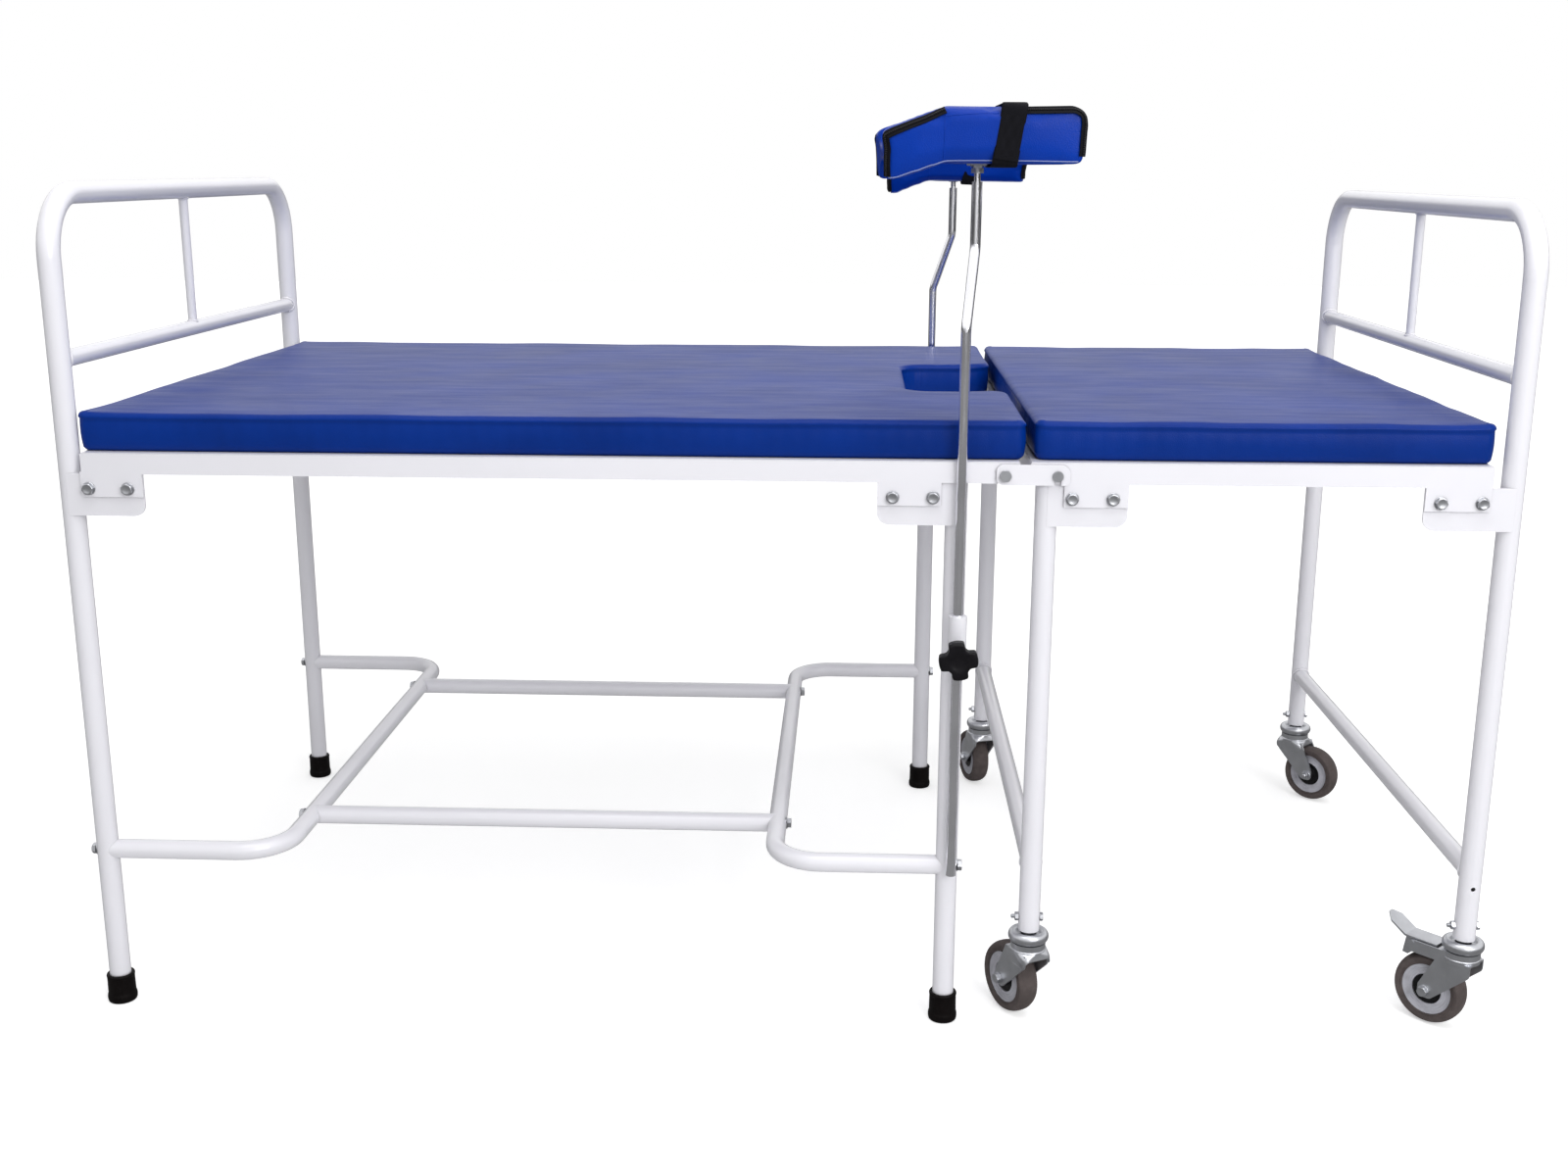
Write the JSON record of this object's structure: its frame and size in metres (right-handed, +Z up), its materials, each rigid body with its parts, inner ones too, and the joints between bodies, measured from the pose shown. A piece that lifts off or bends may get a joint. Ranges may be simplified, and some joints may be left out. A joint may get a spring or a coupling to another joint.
{
  "type": "delivery bed",
  "caption": "Two-section tubular steel delivery bed with padded top, seat cut-out, height-adjustable knee crutches and castors under the foot section.",
  "frame": {"origin": "on the floor, in the middle of the bed's plan", "axes": "+X towards the foot section, +Y towards the far side, +Z up"},
  "size_m": [1.8917, 1.0328, 1.1833],
  "materials": {
    "frame_paint": "gloss",
    "ferrule_rubber": "satin",
    "upholstery": "semi-gloss vinyl",
    "chrome": "polished",
    "zinc": "zinc plated",
    "tyre_rubber": "matt",
    "wheel_plastic": "matt",
    "knob_plastic": "satin",
    "webbing": "woven"
  },
  "bodies": {
    "head_section": {"head_hoop": "frame_paint", "head_crossbar": "frame_paint", "head_spindle": "frame_paint", "middle_leg_near": "frame_paint", "middle_leg_far": "frame_paint", "leg_ferrules": "ferrule_rubber", "head_leg_brackets": "frame_paint", "head_frame": "frame_paint", "head_deck": "frame_paint", "head_mattress": "upholstery", "brace_head_end": "frame_paint", "brace_foot_end": "frame_paint", "stretchers": "frame_paint", "crutch_sockets": "frame_paint", "latch_pivots": "zinc"},
    "foot_section": {"foot_hoop": "frame_paint", "foot_crossbar": "frame_paint", "foot_spindle": "frame_paint", "foot_low_tube": "frame_paint", "inner_leg_near": "frame_paint", "inner_leg_far": "frame_paint", "inner_low_tube": "frame_paint", "foot_leg_brackets": "frame_paint", "foot_frame": "frame_paint", "foot_deck": "frame_paint", "foot_mattress": "upholstery", "latch_studs": "zinc", "castor_stems": "zinc"},
    "latch_near": {"latch_near": "frame_paint"},
    "latch_far": {"latch_far": "frame_paint"},
    "castor_inner_near": {"castor_fork_inner_near": "zinc"},
    "wheel_inner_near": {"castor_tyre_inner_near": "tyre_rubber", "castor_wheel_inner_near": "wheel_plastic"},
    "castor_inner_far": {"castor_fork_inner_far": "zinc"},
    "wheel_inner_far": {"castor_tyre_inner_far": "tyre_rubber", "castor_wheel_inner_far": "wheel_plastic"},
    "castor_foot_near": {"castor_fork_foot_near": "zinc"},
    "wheel_foot_near": {"castor_tyre_foot_near": "tyre_rubber", "castor_wheel_foot_near": "wheel_plastic"},
    "castor_foot_far": {"castor_fork_foot_far": "zinc"},
    "wheel_foot_far": {"castor_tyre_foot_far": "tyre_rubber", "castor_wheel_foot_far": "wheel_plastic"},
    "brake": {"brake_pedal": "zinc"},
    "knob_near": {"clamp_knob_near": "knob_plastic"},
    "rod_near": {"crutch_rod_near": "chrome"},
    "swivel_near": {"swivel_bracket_near": "zinc"},
    "crutch_near": {"gutter_plate_near": "zinc", "crutch_cushion_near": "upholstery", "crutch_strap_near": "webbing"},
    "knob_far": {"clamp_knob_far": "knob_plastic"},
    "rod_far": {"crutch_rod_far": "chrome"},
    "swivel_far": {"swivel_bracket_far": "zinc"},
    "crutch_far": {"gutter_plate_far": "zinc", "crutch_cushion_far": "upholstery", "crutch_strap_far": "webbing"}
  },
  "joints": [
    {"name": "foot_section_slide", "type": "slide", "parent": "head_section", "child": "foot_section", "axis": [1, 0, 0], "range_m": [0, 0.5]},
    {"name": "latch_near_lift", "type": "hinge", "parent": "head_section", "child": "latch_near", "pos_m": [0.254, -0.4597, 0.7435], "axis": [0, -1, 0], "range_deg": [0, 95]},
    {"name": "latch_far_lift", "type": "hinge", "parent": "head_section", "child": "latch_far", "pos_m": [0.254, 0.4597, 0.7435], "axis": [0, -1, 0], "range_deg": [0, 95]},
    {"name": "castor_inner_near_swivel", "type": "hinge", "parent": "foot_section", "child": "castor_inner_near", "pos_m": [0.307, -0.44, 0.11], "axis": [0, 0, 1], "continuous": true},
    {"name": "wheel_inner_near_roll", "type": "hinge", "parent": "castor_inner_near", "child": "wheel_inner_near", "pos_m": [0.28916, -0.40645, 0.048], "axis": [-0.8829, -0.4695, 0], "continuous": true},
    {"name": "castor_inner_far_swivel", "type": "hinge", "parent": "foot_section", "child": "castor_inner_far", "pos_m": [0.307, 0.44, 0.11], "axis": [0, 0, 1], "continuous": true},
    {"name": "wheel_inner_far_roll", "type": "hinge", "parent": "castor_inner_far", "child": "wheel_inner_far", "pos_m": [0.29653, 0.47653, 0.048], "axis": [-0.9613, -0.2756, 0], "continuous": true},
    {"name": "castor_foot_near_swivel", "type": "hinge", "parent": "foot_section", "child": "castor_foot_near", "pos_m": [0.875, -0.44, 0.11], "axis": [0, 0, 1], "continuous": true},
    {"name": "wheel_foot_near_roll", "type": "hinge", "parent": "castor_foot_near", "child": "wheel_foot_near", "pos_m": [0.8486, -0.41267, 0.048], "axis": [-0.7193, -0.6947, 0], "continuous": true},
    {"name": "castor_foot_far_swivel", "type": "hinge", "parent": "foot_section", "child": "castor_foot_far", "pos_m": [0.875, 0.44, 0.11], "axis": [0, 0, 1], "continuous": true},
    {"name": "wheel_foot_far_roll", "type": "hinge", "parent": "castor_foot_far", "child": "wheel_foot_far", "pos_m": [0.90279, 0.41408, 0.048], "axis": [0.682, 0.7314, 0], "continuous": true},
    {"name": "brake_pedal_press", "type": "hinge", "parent": "castor_foot_near", "child": "brake", "pos_m": [0.83332, -0.39684, 0.11], "axis": [-0.7193, -0.6947, 0], "range_deg": [0, 7]},
    {"name": "knob_near_turn", "type": "hinge", "parent": "head_section", "child": "knob_near", "pos_m": [0.2005, -0.48439, 0.517], "axis": [0, -1, 0], "range_deg": [0, 540]},
    {"name": "rod_near_height", "type": "slide", "parent": "head_section", "child": "rod_near", "axis": [0, 0, 1], "range_m": [-0.1, 0.25]},
    {"name": "crutch_near_swivel", "type": "hinge", "parent": "rod_near", "child": "swivel_near", "pos_m": [0.21039, -0.43395, 1.099], "axis": [0, 0, 1], "continuous": true},
    {"name": "crutch_near_tilt", "type": "hinge", "parent": "swivel_near", "child": "crutch_near", "pos_m": [0.21039, -0.43395, 1.117], "axis": [1, 0, 0], "range_deg": [-35, 35]},
    {"name": "knob_far_turn", "type": "hinge", "parent": "head_section", "child": "knob_far", "pos_m": [0.2005, 0.48439, 0.517], "axis": [0, 1, 0], "range_deg": [0, 540]},
    {"name": "rod_far_height", "type": "slide", "parent": "head_section", "child": "rod_far", "axis": [0, 0, 1], "range_m": [-0.08, 0.27]},
    {"name": "crutch_far_swivel", "type": "hinge", "parent": "rod_far", "child": "swivel_far", "pos_m": [0.23057, 0.45344, 1.081], "axis": [0, 0, 1], "continuous": true},
    {"name": "crutch_far_tilt", "type": "hinge", "parent": "swivel_far", "child": "crutch_far", "pos_m": [0.23057, 0.45344, 1.099], "axis": [1, 0, 0], "range_deg": [-53, 17]}
  ]
}
